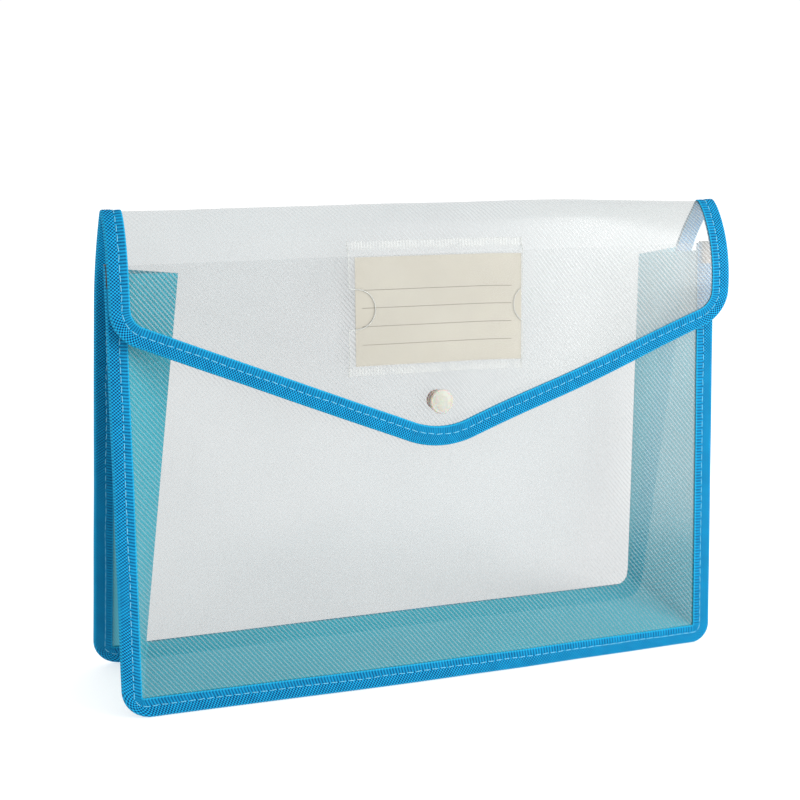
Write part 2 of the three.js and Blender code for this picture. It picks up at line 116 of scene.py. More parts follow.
# How far the films leave their plain shapes, where that starts and over what distance.
RIGHT_BILLOW, RIGHT_BILLOW_START = 0.007, 0.07
LEFT_BILLOW, LEFT_BILLOW_START = 0.0022, 0.055
BILLOW_END_HEIGHT = 0.158
CREASE_SAG, CREASE_SAG_REACH = 0.0032, 0.022
DROOP, DROOP_START, DROOP_REACH = 0.0022, 0.02, 0.05
DRIFT, DRIFT_REACH = 0.0015, 0.06
FOOT_BOW, FOOT_BOW_START = 0.0028, 0.14
RIPPLE, RIPPLE_FADE = 0.0003, 0.03

CAMERA_PLACE = (-0.30462, -0.78112, 0.32190)
CAMERA_YAW = math.radians(20.934)
CAMERA_PITCH = math.radians(12.1644)
CAMERA_ROLL = math.radians(0.4245)
# In millimetres.
CAMERA_LENS = 72.93
SENSOR_WIDTH = 36

WORLD_STRENGTH = 1.04
KEY_PLACE = Vector((0.62, -0.72, 0.42))
KEY_TARGET = Vector((0, 0, 0.12))
KEY_SIZE = (0.7, 0.7)
KEY_WATTS = 9
FLOOR_HALF = 60
FLOOR_GAP = 0.0002


# Curves and sheets.

def bezier(start, pull, end, count=40):
    share = np.linspace(0, 1, count)[:, None]
    return (1 - share) ** 2 * start + 2 * share * (1 - share) * pull + share ** 2 * end


def smoothstep(value):
    value = np.clip(value, 0, 1)
    return value * value * (3 - 2 * value)


def units(rows):
    return rows / np.linalg.norm(rows, axis=-1)[..., None]


def inward_rows(path, closed):
    """The inward direction at each point of an anticlockwise path."""
    if closed:
        travel = np.roll(path, -1, axis=0) - np.roll(path, 1, axis=0)
    else:
        travel = np.gradient(path, axis=0)
    return units(np.stack([-travel[:, 1], travel[:, 0]], 1))


def lengths(points):
    """How far along a line each of its points lies."""
    steps = np.linalg.norm(np.diff(points, axis=0), axis=1)
    return np.concatenate([[0], np.cumsum(steps)])


class Profile:
    """A line in the YZ plane that a sheet follows, with straight run-outs past its ends."""

    STEP = 0.0005
    RUN_OUT = 0.03

    def __init__(self, points, rounding=0.0):
        points = np.array(points)
        first = points[0] - self.RUN_OUT * units(points[1] - points[0])
        last = points[-1] + self.RUN_OUT * units(points[-1] - points[-2])
        points = np.vstack([first, points, last])
        along = lengths(points)
        self.length = along[-1] - 2 * self.RUN_OUT
        self.s = np.arange(0, along[-1], self.STEP)
        self.points = np.stack([np.interp(self.s, along, points[:, k]) for k in (0, 1)], 1)
        if rounding:
            self.round_bends(rounding)
        self.s = self.s - self.RUN_OUT
        travel = units(np.gradient(self.points, axis=0))
        self.outward = np.stack([travel[:, 1], -travel[:, 0]], 1)

    def round_bends(self, radius):
        """Smooth the line with a bell curve, all but its two ends."""
        reach = int(3 * radius / self.STEP)
        offsets = np.arange(-reach, reach + 1) * self.STEP
        kernel = np.exp(-0.5 * (offsets / radius) ** 2)
        kernel /= kernel.sum()
        inner = slice(reach, len(self.s) - reach)
        for k in (0, 1):
            self.points[inner, k] = np.convolve(self.points[:, k], kernel, "valid")

    def at(self, s):
        """Y, Z and the outward direction's Y and Z at each distance s."""
        curves = (*self.points.T, *self.outward.T)
        return [np.interp(s, self.s, values) for values in curves]

    def distance_at(self, height, climbing):
        """The distance where the profile passes a height, on its climbing or its falling side."""
        top = int(np.argmax(self.points[:, 1]))
        if climbing:
            return float(np.interp(height, self.points[:top, 1], self.s[:top]))
        return float(np.interp(-height, -self.points[top:, 1], self.s[top:]))


Sheet = namedtuple("Sheet", "profile swell")

rear_profile = Profile(
    [
        BACK_FOOT,
        *bezier(BACK_BEND, BACK_BEND_PULL, CREASE),
        *bezier(CREASE, FLAP_BEND_PULL, FLAP_BEND)[1:],
        FLAP_END,
    ],
    rounding=0.0011,
)
front_profile = Profile([FRONT_TOP, FRONT_FOOT])
CREASE_S = rear_profile.s[int(np.argmax(rear_profile.points[:, 1]))]
LEFT_CORNER_S, RIGHT_CORNER_S = [
    rear_profile.distance_at(height, climbing=False) for height in FLAP_CORNER_HEIGHTS
]
BILLOW_END_S = rear_profile.distance_at(BILLOW_END_HEIGHT, climbing=False)
TIP_S = rear_profile.length


def no_swell(x, s):
    return 0, 0, 0


def share_between(value, start, end):
    return np.clip((value - start) / (end - start), 0, 1)


def rear_swell(x, s):
    """How far the flap billows out and sags, most at its right, and how far it drifts right."""
    right = smoothstep(share_between(x, RIGHT_BILLOW_START, HALF_WIDTH))
    left = smoothstep(share_between(-x, LEFT_BILLOW_START, HALF_WIDTH))
    over = share_between(s, CREASE_S, BILLOW_END_S)
    billow = (RIGHT_BILLOW * right + LEFT_BILLOW * left) * np.sin(np.pi * over) ** 2
    sag = CREASE_SAG * right * np.exp(-(((s - CREASE_S) / CREASE_SAG_REACH) ** 2))
    droop = DROOP * np.sin(np.pi * share_between(x, DROOP_START, HALF_WIDTH)) ** 2
    sag = sag + droop * smoothstep((s - CREASE_S) / DROOP_REACH)
    drift = DRIFT * right * smoothstep((s - CREASE_S) / DRIFT_REACH + 1)
    return billow, -sag, drift


def front_swell(x, s):
    """How far the foot of the front bows forward between its corners."""
    middle = np.cos(np.pi * np.clip(x / HALF_WIDTH, -1, 1) / 2) ** 2
    low = smoothstep(share_between(s, FOOT_BOW_START, front_profile.length))
    return FOOT_BOW * middle * low, 0, 0


REAR = Sheet(rear_profile, rear_swell)
FRONT = Sheet(front_profile, front_swell)


def place(sheet, x, s, depth):
    """Points on a sheet, depth out from its middle. Nothing goes below the ground."""
    x, s, depth = np.broadcast_arrays(x, s, depth)
    y, z, out_y, out_z = sheet.profile.at(s)
    billow, rise, drift = sheet.swell(x, s)
    reach = depth + billow
    return np.stack([x + drift, y + reach * out_y, np.maximum(z + reach * out_z + rise, 0)], -1)


# Outlines run anticlockwise in (x, s), so that a sheet lies on the left of its edge. Each corner has a
# function that gives its radius once the outline is moved inward, or None where it ends the outline.

Outline = namedtuple("Outline", "corners radii closed")
SMALLEST_RADIUS = 0.001
USUAL_INSET = 0.004


def corner_radius(radius, shrink=1.0):
    return lambda inset: max(radius - shrink * inset, SMALLEST_RADIUS)


left_foot_radius = corner_radius(LEFT_FOOT_RADIUS, shrink=1.5)
right_foot_radius = corner_radius(RIGHT_FOOT_RADIUS)
flap_corner_radius = corner_radius(FLAP_CORNER_RADIUS)
tip_radius = corner_radius(TIP_RADIUS)


def u_outline(top, foot):
    """A panel's open outline, its foot at distance foot and both its ends at top."""
    w = HALF_WIDTH
    corners = np.array([(w, top), (w, foot), (-w, foot), (-w, top)])
    radii = [None, right_foot_radius, left_foot_radius, None]
    if foot < top:
        corners, radii = corners[::-1], radii[::-1]
    return Outline(corners, radii, False)


REAR_OUTLINE = Outline(
    np.array([
        (HALF_WIDTH, 0),
        (HALF_WIDTH, RIGHT_CORNER_S),
        (FITTINGS_X, TIP_S),
        (-HALF_WIDTH, LEFT_CORNER_S),
        (-HALF_WIDTH, 0),
    ]),
    [right_foot_radius, flap_corner_radius, tip_radius, flap_corner_radius, left_foot_radius],
    True,
)
FRONT_OUTLINE = u_outline(0, front_profile.length)


def edge_counts(outline, step):
    """How many steps each edge and each rounded corner of an outline takes."""
    corners = outline.corners
    total = len(corners)
    edges = total if outline.closed else total - 1
    spans = [np.linalg.norm(corners[(k + 1) % total] - corners[k]) for k in range(edges)]
    edge_steps = [2 * max(1, round(span / step / 2)) for span in spans]
    arcs = [0 if radius is None else 1.2 * radius(USUAL_INSET) for radius in outline.radii]
    arc_steps = [2 * round(arc / step / 2) + 2 if arc else 0 for arc in arcs]
    return edge_steps, arc_steps


def trace(outline, inset, counts):
    """Points along an outline moved inward by inset, the same number for every inset."""
    corners = outline.corners
    total = len(corners)
    edge_steps, arc_steps = counts
    travel = [units(corners[(k + 1) % total] - corners[k]) for k in range(len(edge_steps))]
    normal = [np.array([-u[1], u[0]]) for u in travel]
    starts, ends, arcs = [], [], []
    for k in range(total):
        if outline.radii[k] is None:
            point = corners[k] + normal[min(k, len(normal) - 1)] * inset
            starts.append(point)
            ends.append(point)
            arcs.append(point[None])
            continue
        before, after = normal[k - 1], normal[k]
        corner = corners[k] + (before + after) * inset / (1 + before @ after)
        turn = math.acos(before @ after)
        radius = outline.radii[k](inset)
        tangent = radius * math.tan(turn / 2)
        starts.append(corner - travel[k - 1] * tangent)
        ends.append(corner + travel[k] * tangent)
        centre = starts[-1] + before * radius
        angle = np.linspace(0, turn, arc_steps[k] + 1)[:, None]
        arcs.append(centre - radius * (before * np.cos(angle) - travel[k - 1] * np.sin(angle)))
    pieces = []
    for k, steps in enumerate(edge_steps):
        pieces.append(arcs[k])
        share = np.arange(1, steps)[:, None] / steps
        pieces.append(ends[k] + share * (starts[(k + 1) % total] - ends[k]))
    if outline.closed:
        return np.roll(np.vstack(pieces), edge_steps[-1] // 2, axis=0)
    return np.vstack([*pieces, arcs[-1]])


def wobble(count, spacing, amount):
    """A smooth random drift over count samples, with a new value every spacing samples."""
    knots = rng.uniform(-amount, amount, count // spacing + 3)
    return np.interp(np.arange(count) / spacing, np.arange(len(knots)), knots)


# Meshes.

def grid_faces(rows, columns, wrap_rows=False, wrap_columns=False, start=0):
    r = np.arange(rows if wrap_rows else rows - 1)[:, None]
    c = np.arange(columns if wrap_columns else columns - 1)[None]
    next_r, next_c = (r + 1) % rows, (c + 1) % columns
    corners = [r * columns + c, r * columns + next_c, next_r * columns + next_c, next_r * columns + c]
    return (np.stack(np.broadcast_arrays(*corners), -1).reshape(-1, 4) + start).tolist()


def face_out(points, faces):
    """Whether the four-sided faces of a closed mesh point out, from the sign of its volume."""
    quads = np.array([face for face in faces if len(face) == 4])
    a, b, c, d = np.moveaxis(points[quads], 1, 0)
    return np.sum(a * np.cross(b - d, c)) > 0


def make_piece(name, points, faces, material, uv=None, closed=False, crisp=False):
    """A mesh object. uv is one (u, v) for each point, in metres on the flat material."""
    points = np.asarray(points, float).reshape(-1, 3)
    if closed and not face_out(points, faces):
        faces = [face[::-1] for face in faces]
    mesh = bpy.data.meshes.new(name)
    mesh.from_pydata(points.tolist(), [], faces)
    mesh.polygons.foreach_set("use_smooth", np.ones(len(faces), bool))
    if uv is not None:
        layer = mesh.uv_layers.new(name="flat")
        corners = np.zeros(len(mesh.loops), np.int32)
        mesh.loops.foreach_get("vertex_index", corners)
        layer.data.foreach_set("uv", np.asarray(uv, np.float32).reshape(-1, 2)[corners].ravel())
    mesh.materials.append(material)
    mesh.update()
    if crisp:
        mesh.set_sharp_from_angle(angle=math.radians(35))
    piece = bpy.data.objects.new(name, mesh)
    bpy.context.scene.collection.objects.link(piece)
    return piece


def slab(middle, thickness, uv):
    """Points, faces and uv of a closed sheet of that thickness about a grid of points."""
    rows, columns = middle.shape[:2]
    normal = units(np.cross(np.gradient(middle, axis=0), np.gradient(middle, axis=1)))
    near, far = middle - normal * thickness / 2, middle + normal * thickness / 2
    points = np.concatenate([near.reshape(-1, 3), far.reshape(-1, 3)])
    count = rows * columns
    faces = grid_faces(rows, columns)
    faces += [face[::-1] for face in grid_faces(rows, columns, start=count)]
    index = np.arange(count).reshape(rows, columns)
    rim = np.concatenate([index[0], index[1:, -1], index[-1, -2::-1], index[-2:0:-1, 0]])
    for a, b in zip(rim, np.roll(rim, -1)):
        faces.append([int(b), int(a), int(a + count), int(b + count)])
    return points, faces, np.concatenate([uv.reshape(-1, 2)] * 2)


def joined(parts):
    """Points, faces and uv of several parts as one."""
    faces, start = [], 0
    for points, part_faces, _ in parts:
        faces += [[i + start for i in face] for face in part_faces]
        start += len(points)
    return np.concatenate([p[0] for p in parts]), faces, np.concatenate([p[2] for p in parts])


def tube(centres, sideways, upward, radii, sides=8):
    """Points, faces and uv of a closed tube along centres, with a ring for each centre."""
    angle = np.linspace(0, 2 * np.pi, sides, endpoint=False)
    cosine, sine = np.cos(angle)[None, :, None], np.sin(angle)[None, :, None]
    ring = cosine * sideways[:, None] + sine * upward[:, None]
    points = (centres[:, None] + radii[:, None, None] * ring).reshape(-1, 3)
    faces = grid_faces(len(centres), sides, wrap_columns=True)
    faces.append(list(range(sides))[::-1])
    faces.append([(len(centres) - 1) * sides + i for i in range(sides)])
    along = lengths(centres)
    uv = np.stack(np.broadcast_arrays(along[:, None], angle[None]), -1).reshape(-1, 2)
    return points, faces, uv


# Materials. Every pattern is laid out in metres on the flat material, so it follows a bent sheet.

def linear(*srgb):
    """An 8-bit sRGB colour as the linear RGBA that shaders use."""
    values = [c / 255 for c in srgb]
    return tuple(v / 12.92 if v <= 0.04045 else ((v + 0.055) / 1.055) ** 2.4 for v in values) + (1,)


class Finish:
    """A Principled material and the nodes that drive it."""

    def __init__(self, name, **settings):
        self.material = bpy.data.materials.new(name)
        self.material.use_nodes = True
        self.tree = self.material.node_tree
        self.shader = self.tree.nodes["Principled BSDF"]
        for socket, value in settings.items():
            self.shader.inputs[socket.replace("_", " ")].default_value = value

    def node(self, kind, **properties):
        node = self.tree.nodes.new(kind)
        for key, value in properties.items():
            setattr(node, key, value)
        return node

    def feed(self, socket, value):
        if isinstance(value, bpy.types.NodeSocket):
            self.tree.links.new(value, socket)
        else:
            socket.default_value = value

    def drive(self, name, value):
        self.feed(self.shader.inputs[name], value)

    def flat(self):
        return self.node("ShaderNodeUVMap", uv_map="flat").outputs[0]

    def split(self, vector):
        node = self.node("ShaderNodeSeparateXYZ")
        self.feed(node.inputs[0], vector)
        return node.outputs

    def math(self, operation, a, b=0.0, c=0.0, clamp=False):
        node = self.node("ShaderNodeMath", operation=operation, use_clamp=clamp)
        for socket, value in zip(node.inputs, (a, b, c)):
            self.feed(socket, value)
        return node.outputs[0]

    def wave(self, vector, across, pitch, phase=0.0):
        """Ridges from -1 to 1, at right angles to the direction across, each pitch wide."""
        size = 2 * math.pi / pitch / math.hypot(*across)
        dot = self.node("ShaderNodeVectorMath", operation="DOT_PRODUCT")
        self.feed(dot.inputs[0], vector)
        dot.inputs[1].default_value = (across[0] * size, across[1] * size, 0)
        return self.math("SINE", self.math("ADD", dot.outputs["Value"], phase))

    def noise(self, vector, scale, detail=2.0, roughness=0.5, stretch=(1, 1, 1)):
        mapping = self.node("ShaderNodeMapping")
        self.feed(mapping.inputs["Vector"], vector)
        mapping.inputs["Scale"].default_value = stretch
        node = self.node("ShaderNodeTexNoise")
        self.feed(node.inputs["Vector"], mapping.outputs[0])
        node.inputs["Scale"].default_value = scale
        node.inputs["Detail"].default_value = detail
        node.inputs["Roughness"].default_value = roughness
        return node.outputs["Fac"]

    def range(self, value, low, high, to_low=0, to_high=1, **properties):
        node = self.node("ShaderNodeMapRange", **properties)
        for socket, given in zip(node.inputs, (value, low, high, to_low, to_high)):
            self.feed(socket, given)
        return node.outputs[0]

    def spread(self, noise, low, high):
        """A noise, which is mostly from 0.3 to 0.7, spread over low to high."""
        return self.range(noise, 0.3, 0.7, low, high)

    def ease(self, value, start, end):
        """0 before start, 1 past end and smooth between them."""
        return self.range(value, start, end, interpolation_type="SMOOTHSTEP")

    def mix(self, factor, a, b):
        node = self.node("ShaderNodeMix", data_type="RGBA")
        self.feed(node.inputs["Factor"], factor)
        self.feed(node.inputs[6], a)
        self.feed(node.inputs[7], b)
        return node.outputs[2]

    def between(self, factor, a, b):
        node = self.node("ShaderNodeMix")
        self.feed(node.inputs[0], factor)
        self.feed(node.inputs[2], a)
        self.feed(node.inputs[3], b)
        return node.outputs[0]

    def bump(self, height, strength, distance):
        node = self.node("ShaderNodeBump")
        node.inputs["Strength"].default_value = strength
        node.inputs["Distance"].default_value = distance
        self.feed(node.inputs["Height"], height)
        self.drive("Normal", node.outputs[0])

    def place_noise(self, scale, **options):
        """Noise laid out in space, for pieces that have no flat layout."""
        return self.noise(self.node("ShaderNodeTexCoord").outputs["Object"], scale, **options)


# How a film looks between its ridges and on them: two colours and two opacities.
FilmLook = namedtuple("FilmLook", "hollow ridge low high")
# A painted highlight: a pale, more opaque film area that stands in for the key light's reflection; how
# strong it is, and from where to where it fades in, across and along the film.
PaintedHighlight = namedtuple("PaintedHighlight", "colour strength across along")
CREASE_BLUR = 0.003


def embossed_film(name, look, beyond=None, painted_highlight=None, gloss=0.5, dullness=0.2):
    """A plastic film with fine slanting ridges. beyond is its look past the crease, if that differs."""
    finish = Finish(name, IOR=1.7, Specular_IOR_Level=gloss)
    flat = finish.flat()
    across = (-math.sin(EMBOSS_ANGLE), math.cos(EMBOSS_ANGLE))
    ridge = finish.range(finish.wave(flat, across, EMBOSS_PITCH), 0.1, 1.0)
    cloud = finish.spread(finish.noise(flat, 18, detail=3), 0, 1)
    scuffs = finish.range(finish.noise(flat, 260, detail=4, stretch=(1, 0.12, 1)), 0.62, 0.75)
    colour = finish.mix(ridge, look.hollow, look.ridge)
    alpha = finish.range(ridge, 0, 1, look.low, look.high)
    # On the rear sheet, the look before the crease is painted shade: its back part is tinted darker than
    # its flap, though both are one film.
    if beyond:
        past = finish.range(finish.split(flat)[1], CREASE_S - CREASE_BLUR, CREASE_S + CREASE_BLUR)
        colour = finish.mix(past, colour, finish.mix(ridge, beyond.hollow, beyond.ridge))
        alpha = finish.between(past, alpha, finish.range(ridge, 0, 1, beyond.low, beyond.high))
    # Painted highlight: the film is made paler and more opaque where the key light's reflection falls.
    if painted_highlight:
        u, v, _ = finish.split(flat)
        highlight_area = finish.math("MULTIPLY", finish.ease(u, *painted_highlight.across), finish.ease(v, *painted_highlight.along))
        strength = finish.range(ridge, 0, 1, 0.85 * painted_highlight.strength, painted_highlight.strength)
        highlight_amount = finish.math("MULTIPLY", highlight_area, strength)
        highlight_share = finish.math("DIVIDE", highlight_amount, finish.math("MAXIMUM", highlight_amount, alpha))
        colour = finish.mix(highlight_share, colour, painted_highlight.colour)
        alpha = finish.between(highlight_amount, alpha, 1.0)
    alpha = finish.math("ADD", alpha, finish.range(cloud, 0, 1, -0.015, 0.015))
    dull = finish.range(cloud, 0, 1, dullness, dullness + 0.1)
    finish.drive("Alpha", finish.math("MULTIPLY_ADD", scuffs, 0.02, alpha, clamp=True))
    finish.drive("Base Color", colour)
    finish.drive("Roughness", finish.math("MULTIPLY_ADD", scuffs, 0.1, dull))
    finish.bump(ridge, 0.15, 0.0001)
    return finish.material


def woven_tape(name):
    """Woven polyester tape: a dotted weave outside the stitches, ribs inside them, light selvedges, and
    a painted highlight along the fold at its outer edge.
    """
    finish = Finish(name, Sheen_Weight=0.04, Sheen_Roughness=0.4, Specular_IOR_Level=0.12)
    finish.shader.inputs["Sheen Tint"].default_value = linear(60, 180, 225)
    flat = finish.flat()
    inset = finish.math("ABSOLUTE", finish.split(flat)[1])
    ribs = finish.wave(flat, (1, 0), 2 * RIB_STEP, phase=math.pi / 2)
    picks = finish.wave(flat, (0, 1), PICK_PITCH)
    inside = finish.range(inset, STITCH_INSET - 0.0003, STITCH_INSET + 0.0003)
    dots = finish.math("MULTIPLY", ribs, picks)
    faint_ribs = finish.math("MULTIPLY", ribs, 0.18)
    weave = finish.between(inside, dots, faint_ribs)
    fibre = finish.noise(flat, 5200, detail=2, stretch=(1, 0.25, 1))
    shade = finish.noise(flat, 160, detail=3, roughness=0.6)
    light = finish.range(weave, -0.3, 0.3, 0, 0.9)
    light = finish.math("ADD", light, finish.spread(fibre, -0.1, 0.1))
    light = finish.math("ADD", light, finish.spread(shade, -0.08, 0.08), clamp=True)
    body = finish.mix(light, linear(0, 40, 84), linear(8, 156, 208))
    selvedge = finish.range(inset, TAPE_WIDTH - 0.0008, TAPE_WIDTH - 0.0004, 0, 0.5)
    # Painted highlight: the tape is made paler along the fold at its outer edge. The light selvedges at
    # its inner edges are the tape's own.
    fold_highlight = finish.range(inset, 0.0006, 0.0014, 0.3, 0)
    selvedge_and_fold_highlight = finish.math("MAXIMUM", selvedge, fold_highlight)
    finish.drive("Base Color", finish.mix(selvedge_and_fold_highlight, body, linear(34, 170, 212)))
    finish.drive("Roughness", finish.range(light, 0, 1, 0.85, 0.6))
    finish.bump(finish.math("MULTIPLY_ADD", fibre, 0.35, weave), 0.6, 0.0001)
    return finish.material


def sewing_thread(name):
    """Twisted polyester thread, lighter than the tape."""
    finish = Finish(name, Sheen_Weight=0.1, Specular_IOR_Level=0.4)
    along, around, _ = finish.split(finish.flat())
    twist = finish.math("SINE", finish.math("MULTIPLY_ADD", along, 2 * math.pi / TWIST_PITCH, around))
    fuzz = finish.spread(finish.place_noise(3000, detail=2), -0.2, 0.2)
    light = finish.math("ADD", fuzz, finish.range(twist, -1, 1, 0.2, 0.8))
    finish.drive("Base Color", finish.mix(light, linear(62, 152, 190), linear(118, 200, 226)))
    finish.drive("Roughness", finish.range(fuzz, -0.2, 0.2, 0.45, 0.65))
    finish.bump(twist, 0.4, 0.00006)
    return finish.material


def pocket_film(name):
    """Smooth clear film with hazy ribbed welds along its two long sides."""
    finish = Finish(name, IOR=1.5)
    flat = finish.flat()
    inner = WINDOW_HALF_HEIGHT - WELD
    inset = finish.math("ABSOLUTE", finish.split(flat)[1])
    weld = finish.range(inset, inner - 0.0008, inner + 0.0008)
    ribs = finish.range(finish.wave(flat, (1, 0), WELD_PITCH), -1, 1)
    cloud = finish.noise(flat, 90, detail=3)
    patches = finish.range(finish.noise(flat, 160, detail=2), 0.35, 0.6, 0.3, 1)
    welded = finish.math("MULTIPLY", finish.range(ribs, 0, 1, 0.08, 0.3), patches)
    plain = finish.spread(cloud, 0.02, 0.05)
    lip = finish.math("GREATER_THAN", inset, WINDOW_HALF_HEIGHT + LIP_MARK / 2)
    finish.drive("Alpha", finish.between(lip, finish.between(weld, plain, welded), 0.55))
    finish.drive("Base Color", finish.mix(weld, linear(210, 211, 207), linear(200, 202, 198)))
    finish.drive("Roughness", finish.spread(cloud, 0.14, 0.28))
    finish.bump(finish.math("MULTIPLY", ribs, weld), 0.3, 0.0001)
    return finish.material


def ruled_card(name):
    """Cream card with four printed writing lines and a fine paper grain."""
    finish = Finish(name, Specular_IOR_Level=0.25)
    flat = finish.flat()
    u, v, _ = finish.split(flat)
    grain = finish.noise(flat, 2600, detail=4)
    cloud = finish.noise(flat, 30, detail=2)
    rule = 0.0
    for share in RULE_SHARES:
        height = CARD_HALF_HEIGHT * (1 - 2 * share)
        line = finish.math("COMPARE", v, height, RULE_HALF_THICKNESS)
        rule = finish.math("ADD", line, rule)
    within = finish.math("COMPARE", u, RULE_MIDDLE, CARD_HALF_WIDTH * RULE_REACH)
    ink = finish.math("MULTIPLY", finish.math("MULTIPLY", rule, within), 0.75)
    tone = finish.math("ADD", finish.spread(cloud, 0.2, 0.6), finish.spread(grain, -0.2, 0.2))
    paper = finish.mix(tone, linear(162, 158, 147), linear(174, 171, 160))
    finish.drive("Base Color", finish.mix(ink, paper, linear(112, 109, 100)))
    finish.drive("Roughness", finish.spread(grain, 0.72, 0.9))
    finish.bump(grain, 0.25, 0.00005)
    return finish.material


def ivory_plastic(name):
    """Moulded ivory plastic with a faint mottle."""
    finish = Finish(name, Subsurface_Weight=0.8, Subsurface_Scale=0.004)
    mottle = finish.place_noise(700, detail=3)
    tone = finish.spread(mottle, 0, 1)
    finish.drive("Base Color", finish.mix(tone, linear(166, 167, 157), linear(178, 180, 170)))
    finish.drive("Roughness", finish.spread(mottle, 0.28, 0.42))
    finish.bump(finish.place_noise(2400, detail=2), 0.12, 0.00005)
    return finish.material


def nickel_plate(name):
    """Nickel-plated sheet steel, brushed along the clip and a little stained."""
    finish = Finish(name, Metallic=1.0)
    brushed = finish.place_noise(900, detail=3, stretch=(1, 8, 0.3))
    stain = finish.range(finish.place_noise(260, detail=3), 0.35, 0.65)
    finish.drive("Base Color", finish.mix(stain, linear(92, 80, 72), linear(128, 118, 110)))
    finish.drive("Roughness", finish.spread(brushed, 0.42, 0.6))
    finish.bump(brushed, 0.15, 0.00004)
    return finish.material


def studio_floor(name):
    """White acrylic, lit a little from below."""
    finish = Finish(name, Specular_IOR_Level=0.1, Emission_Strength=0.58)
    finish.shader.inputs["Emission Color"].default_value = (1, 1, 1, 1)
    mottle = finish.place_noise(3, detail=2)
    finish.drive("Base Color", finish.mix(mottle, (0.56, 0.56, 0.56, 1), (0.58, 0.58, 0.58, 1)))
    finish.drive("Roughness", finish.spread(mottle, 0.85, 0.95))
    return finish.material


# Films.

def edges_at(path, s, middle):
    """The left and right edges of an outline at distance s."""
    edges = []
    for side in (path[path[:, 0] <= middle], path[path[:, 0] >= middle]):
        order = np.argsort(side[:, 1])
        edges.append(np.interp(s, side[order, 1], side[order, 0])[:, None])
    return edges


def ripple(x, s, inside):
    """Gentle unevenness of a film, in waves about 90 to 180 mm long, that fades out at its tape."""
    waves = np.sin(41 * x + 23 * s + 0.7) * np.sin(31 * s - 17 * x + 1.9)
    waves = waves + 0.6 * np.sin(67 * x - 29 * s + 0.2) * np.sin(47 * s + 11 * x)
    return RIPPLE * waves * smoothstep(inside / RIPPLE_FADE)


def film_sheet(name, sheet, outline, stops, material, middle=0.0):
    """A film inside an outline, with a row of points at each stop."""
    path = trace(outline, FILM_INSET, edge_counts(outline, 0.002))
    left, right = edges_at(path, stops, middle)
    x = left + (right - left) * np.linspace(0, 1, 97)[None]
    s = np.broadcast_to(stops[:, None], x.shape)
    inside = np.minimum(x - left, right - x) - (TAPE_WIDTH - 0.002)
    points = place(sheet, x, s, FILM_OFFSET + ripple(x, s, inside))
    return make_piece(name, points, grid_faces(*x.shape), material, np.stack([x, s], -1))


def stops_along(start, *stretches):
    """Distances from start on. Each stretch is where it ends and the spacing of its stops."""
    rows = [np.array([start])]
    for end, spacing in stretches:
        begin = rows[-1][-1]
        count = max(1, round((end - begin) / spacing))
        rows.append(np.linspace(begin, end, count + 1)[1:])
    return np.concatenate(rows)


# Tape and stitches.

def tape_section():
    """The closed section of a folded tape as (inset, depth, weave): 0 plain, 1 ribbed, 2 dotted."""
    upper = [
        (0.00985, 0.0005, 0), (0.01005, 0.00062, 0), (0.01008, 0.00084, 0), (0.00992, 0.00104, 0),
        (0.0096, 0.00111, 1), (0.009, 0.00114, 1), (0.0082, 0.00118, 1), (0.0074, 0.00118, 1),
        (0.0067, 0.00112, 1), (0.0062, 0.00098, 0), (0.00585, 0.00098, 0), (0.00555, 0.00112, 2),
        (0.00515, 0.00122, 2), (0.0047, 0.00128, 2), (0.0041, 0.00131, 2), (0.0035, 0.00133, 2),
        (0.0029, 0.00134, 2), (0.0023, 0.00135, 2), (0.0017, 0.00136, 2),
    ]
    turn = [(HALF_STACK * (1 - math.sin(a)), HALF_STACK * math.cos(a), 2)
            for a in np.linspace(math.radians(12), math.radians(168), 7)]
    lower = [(inset, -depth, weave) for inset, depth, weave in reversed(upper)]
    lining = [(0.009, -0.00058, 0), (0.005, -0.00066, 0), (0.0018, -0.00068, 0), (0.0011, 0.0, 0),
              (0.0018, 0.00068, 0), (0.005, 0.00066, 0), (0.009, 0.00058, 0)]
    return upper + turn + lower + lining


def tape(name, sheet, outline, material):
    """A folded tape along an outline, whose ribs and dots rise and sink from row to row."""
    section = tape_section()
    counts = edge_counts(outline, RIB_STEP)
    rows = len(trace(outline, 0, counts))
    drift = wobble(rows, 40, TAPE_DRIFT)
    parity = (-1.0) ** np.arange(rows)
    along = np.arange(rows) * RIB_STEP
    columns, flat = [], []
    for j, (inset, depth, weave) in enumerate(section):
        path = trace(outline, inset, counts)
        inward = inward_rows(path, outline.closed)
        path = path + inward * drift[:, None]
        relief = (0, RIB_RELIEF, DOT_RELIEF * (-1) ** j)[weave] * parity
        columns.append(place(sheet, path[:, 0], path[:, 1], depth + np.sign(depth) * relief))
        flat.append(np.stack([along, np.full(rows, math.copysign(inset, depth))], 1))
    points, uv = np.stack(columns, 1), np.stack(flat, 1)
    faces = grid_faces(rows, len(section), wrap_rows=outline.closed, wrap_columns=True)
    if not outline.closed:
        faces.append(list(range(len(section)))[::-1])
        faces.append([(rows - 1) * len(section) + j for j in range(len(section))])
    return make_piece(name, points, faces, material, uv, closed=True)


